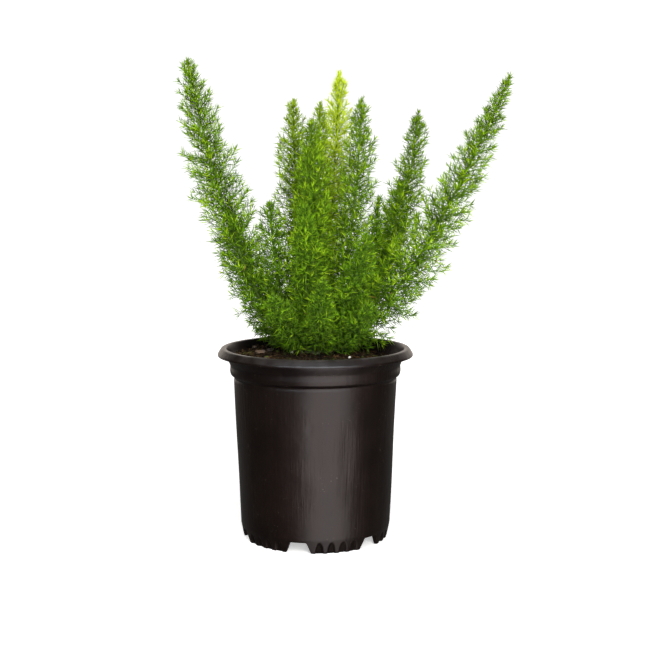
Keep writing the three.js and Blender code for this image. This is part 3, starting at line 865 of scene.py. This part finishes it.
class Frond:
    """One plume: its cane, the sprays round it and the needles on them."""

    def __init__(self, number):
        self.number = number
        self.rng = np.random.default_rng(100 + number)
        self.line, self.radius = centre_line(number)
        self.length = (len(self.line) - 1) * LINE_STEP
        self.along = unit(np.gradient(self.line, axis=0))
        self.needles, self.stems = Pile(), Pile()

    def at(self, distance):
        place = np.clip(distance / LINE_STEP, 0, len(self.line) - 1)
        low = np.minimum(place.astype(int), len(self.line) - 2)
        share = (place - low)[:, None]
        point = self.line[low] * (1 - share) + self.line[low + 1] * share
        return point, unit(self.along[low] * (1 - share) + self.along[low + 1] * share)

    def nearest(self, share):
        return self.at(share * self.length)[0]

    def youth_and_glow(self, share):
        """How yellow the foliage is along the plume: young growth, plus a painted glow on the back-lit
        frond and its neighbours.
        """
        if self.number == BRIGHT_FROND:
            return 0.42 + 0.42 * share
        if self.number in LIT_FRONDS:
            return 0.04 + 0.22 * share ** 2
        return 0.07 * share ** 2 if self.number < 9 else 0

    def spray_lines(self):
        """The side sprays' middle lines (sprays by steps by xyz), lengths and places on the cane."""
        rng = self.rng
        first = min(BARE_FOOT, self.length * 0.2)
        distance = np.arange(first, self.length - LINE_STEP, SPRAY_PITCH)
        distance = distance + rng.uniform(-0.8, 0.8, len(distance))
        share = distance / self.length
        point, ahead = self.at(distance)
        turn = np.arange(len(distance)) * GOLDEN_ANGLE + rng.uniform(-0.35, 0.35, len(distance))
        side = unit(np.cross(ahead, (0.2, 0.95, 0.1)))
        up = np.cross(side, ahead)
        out = side * np.cos(turn)[:, None] + up * np.sin(turn)[:, None]
        shape = np.array(PLUME_SHAPE)
        fuller = np.array(FULLER.get(self.number, [(0, 1.06), (0.5, 1)]))
        wide = np.interp(share, shape[:, 0], shape[:, 1]) * self.radius
        wide = wide * np.interp(share, fuller[:, 0], fuller[:, 1])
        tilt = np.radians(np.interp(share, [0, 0.15, 0.5, 0.85, 1], [86, 80, 70, 54, 28]))
        tilt = tilt + rng.normal(0, 0.12, len(share))
        reach = wide * rng.uniform(0.74, 1.08, len(share)) - 6.0
        length = np.clip(reach / np.maximum(np.sin(tilt), 0.5), 1.2, None)
        start = ahead * np.cos(tilt)[:, None] + out * np.sin(tilt)[:, None]
        lift = np.array([0, 0, 1.0])
        line = [point]
        heading = start
        for _ in range(SPRAY_STEPS):
            line.append(line[-1] + heading * (length / SPRAY_STEPS)[:, None])
            heading = unit(heading + 0.07 * ahead + 0.05 * lift + rng.normal(0, 0.05, heading.shape))
        return np.stack(line, 1), length, share

    def grow_needles(self, lines, lengths, shares):
        rng = self.rng
        rows = []
        for line, length, share in zip(lines, lengths, shares):
            shade = rng.normal(0, 0.12)
            nodes = np.arange(0.9, length + NODE_PITCH, NODE_PITCH) / length
            nodes = np.minimum(nodes, 1)
            for i, place in enumerate(nodes):
                for k in range(int(1.5 + 1.0 * place + rng.uniform(0, 1))):
                    rows.append((*self.spot(line, place), place, share, i * 2.4 + k * 2.1, shade))
            for k in range(2):
                rows.append((*self.spot(line, 1.0), 1.3, share, k * 2.1, shade))
        table = np.array(rows)
        count = len(table)
        base, ahead = table[:, :3], unit(table[:, 3:6])
        place, share, turn = table[:, 6], table[:, 7], table[:, 8] + rng.uniform(-0.5, 0.5, count)
        side = unit(np.cross(ahead, (0.1, 0.2, 0.97)))
        up = np.cross(side, ahead)
        out = side * np.cos(turn)[:, None] + up * np.sin(turn)[:, None]
        spread = np.radians(np.interp(place, [0, 0.6, 1, 1.3], [60, 52, 44, 32]))
        spread = spread * (1 - 0.35 * share ** 5) + rng.normal(0, 0.2, count)
        heading = ahead * np.cos(spread)[:, None] + out * np.sin(spread)[:, None] + (0, 0, 0.1)
        size = np.interp(share, [0, 0.5, 0.85, 1], [1, 1, 0.8, 0.6]) * rng.uniform(0.72, 1.12, count)
        length = NEEDLE_LENGTH * size * np.interp(place, [0, 1, 1.3], [1, 0.85, 0.75])
        width = NEEDLE_WIDTH * rng.uniform(0.8, 1.1, count) * np.interp(place, [0.4, 1], [1, 0.8])
        width = width * np.interp(size, [0.4, 1], [0.75, 1])
        keep = clear_of_pot(base) & clear_of_pot(base + unit(heading) * length[:, None])
        # Painted shade: needles near the cane get a darker tone, partly for older inner needles and
        # partly as painted shade, and needles low in the tuft are darker still as painted shade.
        depth = np.clip(np.linalg.norm(base - self.nearest(share), axis=1) / self.radius, 0, 1)
        low = np.clip((SHADED_TOP - base[:, 2]) / SHADED_SPAN, 0, 1)
        tone = np.clip(rng.normal(-0.03, 0.44, count) + table[:, 9] + 0.74 * depth - 0.42 * low, 0, 0.97)
        tone[rng.uniform(0, 1, count) < 0.006 * (share < 0.35)] = 1.0
        marks = np.stack([tone, np.broadcast_to(self.youth_and_glow(share), count)], 1)
        flat = unit(out + rng.normal(0, 0.3, out.shape))
        curve = rng.uniform(-0.2, 0.9, count)
        needles_mesh(self.needles, base[keep], heading[keep], flat[keep], length[keep],
                     width[keep], marks[keep], curve[keep])

    def spot(self, line, place):
        step = min(place * SPRAY_STEPS, SPRAY_STEPS - 1e-6)
        low = int(step)
        ahead = line[low + 1] - line[low]
        return (*(line[low] + ahead * (step - low)), *ahead)

    def grow_stems(self, lines, lengths, shares):
        steps = np.linspace(0, 1, len(self.line))
        radii = CANE_RADIUS + (CANE_TIP_RADIUS - CANE_RADIUS) * steps
        radii = radii * (1 + 0.06 * np.sin(np.arange(len(steps)) * 2.7))
        points, triangles = tube(self.line, radii, CANE_SIDES)
        marks = np.full((len(points), 3), 0.5)
        marks[:-2, 1] = np.repeat(steps, CANE_SIDES)
        self.stems.add(points, triangles, marks)
        for line, length, share in zip(lines, lengths, shares):
            if length < 2 or not clear_of_pot(line).all():
                continue
            thick = np.linspace(0.42, 0.16, SPRAY_STEPS + 1) * (1 - 0.3 * share)
            points, triangles = tube(line, thick, TWIG_SIDES)
            self.stems.add(points, triangles, (self.rng.uniform(0.2, 0.9), 0.3 + 0.7 * share, 0.5))

    def build(self, leaf, green):
        lines, lengths, shares = self.spray_lines()
        self.grow_needles(lines, lengths, shares)
        self.grow_stems(lines, lengths, shares)
        name = f"frond_{self.number:02d}"
        settle(self.needles.build(f"{name}_needles", leaf), "foliage", f"{name}_foliage")
        settle(self.stems.build(f"{name}_cane", green), "green_stem", f"{name}_stem")


def make_fronds():
    leaf, green = foliage_material(), stem_material()
    for number in range(1, FROND_COUNT + 1):
        Frond(number).build(leaf, green)


# ----------------------------------------------------------------------- camera, stage
def make_camera():
    data = bpy.data.cameras.new("camera")
    data.lens = CAMERA_LENS
    data.sensor_width = CAMERA_SENSOR
    data.clip_end = 50
    camera = bpy.data.objects.new("camera", data)
    camera.location = to_metres((CAMERA_ASIDE, -CAMERA_BACK, POT_HEIGHT + CAMERA_RISE))
    camera.rotation_euler = (math.pi / 2 - CAMERA_TILT, 0, 0)
    bpy.context.scene.collection.objects.link(camera)
    bpy.context.scene.camera = camera


def soft_light(name, place, aim, width, height, watts, colour):
    data = bpy.data.lights.new(name, "AREA")
    data.shape = "RECTANGLE"
    data.size, data.size_y = width, height
    data.energy = watts
    data.color = colour
    light = bpy.data.objects.new(name, data)
    light.location = place
    light.rotation_euler = (Vector(aim) - Vector(place)).to_track_quat("-Z", "Y").to_euler()
    light.visible_camera = False
    bpy.context.scene.collection.objects.link(light)
    return light


def make_stage():
    scene = bpy.context.scene
    scene.view_settings.view_transform = "Standard"
    world = bpy.data.worlds.new("studio")
    world.use_nodes = True
    nodes, links = world.node_tree.nodes, world.node_tree.links
    fill = nodes["Background"]
    fill.inputs["Color"].default_value = FILL_COLOUR
    fill.inputs["Strength"].default_value = FILL_STRENGTH
    seen = nodes.new("ShaderNodeBackground")
    seen.inputs["Strength"].default_value = BACKDROP_STRENGTH
    seen.inputs["Color"].default_value = (1, 1, 1, 1)
    path, both = nodes.new("ShaderNodeLightPath"), nodes.new("ShaderNodeMixShader")
    links.new(path.outputs["Is Camera Ray"], both.inputs["Fac"])
    links.new(fill.outputs["Background"], both.inputs[1])
    links.new(seen.outputs["Background"], both.inputs[2])
    links.new(both.outputs["Shader"], nodes["World Output"].inputs["Surface"])
    scene.world = world

    paint = Paint("floor", 0.9, 0.1)
    cloud = paint.noise(3, 2)
    paint.colour(paint.ramp(cloud, [(0, (0.93, 0.93, 0.93)), (1, (0.95, 0.95, 0.95))]))
    paint.shader.inputs["Emission Color"].default_value = (1, 1, 1, 1)
    paint.shader.inputs["Emission Strength"].default_value = FLOOR_GLOW
    mesh = bpy.data.meshes.new("floor")
    half = FLOOR_HALF
    mesh.from_pydata([(-half, -half, 0), (half, -half, 0), (half, half, 0), (-half, half, 0)], [],
                     [(0, 1, 2, 3)])
    mesh.materials.append(paint.material)
    floor = bpy.data.objects.new("floor", mesh)
    scene.collection.objects.link(floor)
    # Lights may stand below the floor, for what the pot's side reflects.
    floor.visible_glossy = False
    floor.visible_shadow = False

    pot = Vector((AXIS_X * MM, AXIS_Y * MM, 0))
    for name, place, aim, width, height, watts, colour, diffuse in AREA_LIGHTS:
        light = soft_light(name, pot + Vector(place), pot + Vector(aim), width, height, watts, colour)
        light.visible_diffuse = diffuse
    sun = bpy.data.lights.new("overhead", "SUN")
    sun.energy, sun.angle = SUN_STRENGTH, SUN_SPREAD
    above = bpy.data.objects.new("overhead", sun)
    above.rotation_euler = SUN_TURN
    scene.collection.objects.link(above)


make_camera()
make_stage()
make_pot()
make_soil()
make_crown()
make_loose()
make_fronds()
